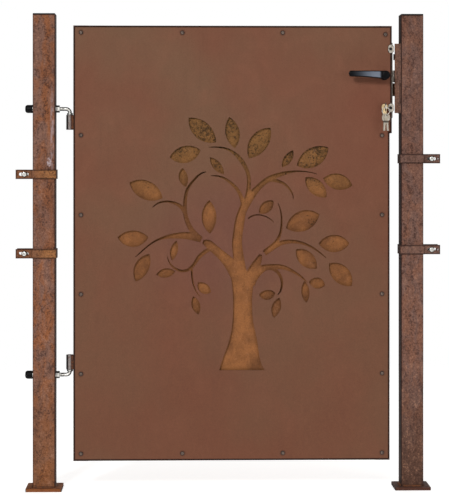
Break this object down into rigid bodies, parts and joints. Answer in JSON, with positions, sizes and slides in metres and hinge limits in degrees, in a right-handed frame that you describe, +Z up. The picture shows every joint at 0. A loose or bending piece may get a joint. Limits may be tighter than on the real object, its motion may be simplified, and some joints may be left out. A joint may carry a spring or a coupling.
{
  "type": "garden gate",
  "caption": "Single garden gate: rust-coloured steel leaf with a laser-cut tree between two posts, with hook hinges, lever lock and fence clamps.",
  "frame": {"origin": "ground level, midway between the posts, in the leaf's middle plane", "axes": "+Z up, +X from the hinge post to the lock post, -Y towards the decorated front"},
  "size_m": [1.142, 0.138, 1.28],
  "materials": {
    "sheet_rust": "matte even brown rust on laser-cut sheet",
    "backing_rust": "matte orange-brown rust with dark flecks",
    "frame_rust": "matte brown rust on welded tube and strap",
    "post_rust": "matte mottled rust on hot-rolled square tube",
    "bare_steel": "turned steel with light rust",
    "weld_steel": "rusted weld bead",
    "zinc_plated_steel": "bright zinc plating",
    "bright_steel": "nickel-plated or plain bright steel",
    "cylinder_brass": "satin brass",
    "black_coated_metal": "black powder coat, semi-gloss",
    "dark_screw_steel": "blackened steel",
    "black_plastic": "moulded, satin",
    "black_rubber": "matte"
  },
  "bodies": {
    "posts": {"clamp_bolts": "zinc_plated_steel", "clamp_nuts": "zinc_plated_steel", "clamp_washers": "zinc_plated_steel", "hinge_caps": "black_plastic", "hinge_collars": "zinc_plated_steel", "hinge_inner_nuts": "zinc_plated_steel", "hinge_outer_nuts": "zinc_plated_steel", "hinge_washers": "zinc_plated_steel", "keep": "frame_rust", "keep_buffer": "black_rubber", "keep_screws": "dark_screw_steel", "left_base_plate": "post_rust", "left_lower_clamp": "frame_rust", "left_post": "post_rust", "left_post_cap": "black_plastic", "left_upper_clamp": "frame_rust", "lower_hinge_hook": "zinc_plated_steel", "right_base_plate": "post_rust", "right_lower_clamp": "frame_rust", "right_post": "post_rust", "right_post_cap": "black_plastic", "right_upper_clamp": "frame_rust", "upper_hinge_hook": "zinc_plated_steel"},
    "leaf": {"left_stile": "frame_rust", "right_stile": "frame_rust", "top_rail": "frame_rust", "bottom_rail": "frame_rust", "frame_end_plates": "frame_rust", "lock_box": "frame_rust", "front_sheet": "sheet_rust", "backing_sheet": "backing_rust", "sheet_screws": "dark_screw_steel", "threaded_inserts": "zinc_plated_steel", "upper_hinge_barrel": "bare_steel", "lower_hinge_barrel": "bare_steel", "hinge_welds": "weld_steel", "lock_case": "bright_steel", "lock_case_cover": "bright_steel", "lock_faceplate": "zinc_plated_steel", "faceplate_screws": "dark_screw_steel", "latch_spring": "bright_steel", "cylinder_body": "cylinder_brass", "cylinder_screw": "zinc_plated_steel", "front_rose": "black_coated_metal", "rear_rose": "black_coated_metal"},
    "handles": {"front_handle": "black_coated_metal", "rear_handle": "black_coated_metal", "spindle": "bright_steel", "follower": "bright_steel", "handle_set_screws": "dark_screw_steel"},
    "latch": {"latch_bolt": "bright_steel"},
    "deadbolt": {"deadbolt": "bright_steel"},
    "cylinder_core": {"cylinder_plug": "cylinder_brass", "cylinder_cam": "bright_steel", "lock_key": "bright_steel"},
    "key_bunch": {"key_ring": "bright_steel", "spare_keys": "bright_steel"}
  },
  "joints": [
    {"name": "leaf_swing", "type": "hinge", "parent": "posts", "child": "leaf", "pos_m": [-0.427, 0, 0.663], "axis": [0, 0, 1], "range_deg": [0, 95]},
    {"name": "handle_turn", "type": "hinge", "parent": "leaf", "child": "handles", "pos_m": [0.42, 0, 1.114], "axis": [0, -1, 0], "range_deg": [0, 42], "stiffness_Nm_per_rad": 1.5, "springref_deg": -28.65},
    {"name": "latch_slide", "type": "slide", "parent": "leaf", "child": "latch", "axis": [-1, 0, 0], "range_m": [0, 0.0125], "deforming": ["latch_spring"]},
    {"name": "key_turn", "type": "hinge", "parent": "leaf", "child": "cylinder_core", "pos_m": [0.421, 0, 1.029], "axis": [0, 1, 0], "range_deg": [0, 360]},
    {"name": "deadbolt_slide", "type": "slide", "parent": "leaf", "child": "deadbolt", "axis": [1, 0, 0], "range_m": [0, 0.0145]},
    {"name": "key_bunch_swing", "type": "hinge", "parent": "cylinder_core", "child": "key_bunch", "pos_m": [0.421, -0.052, 1.0275], "axis": [1, 0, 0], "range_deg": [-60, 15]}
  ],
  "couplings": [
    {"joint": "latch_slide", "follows": "handle_turn", "m_per_rad": 0.01637},
    {"joint": "deadbolt_slide", "follows": "key_turn", "m_per_rad": 0.002228}
  ]
}
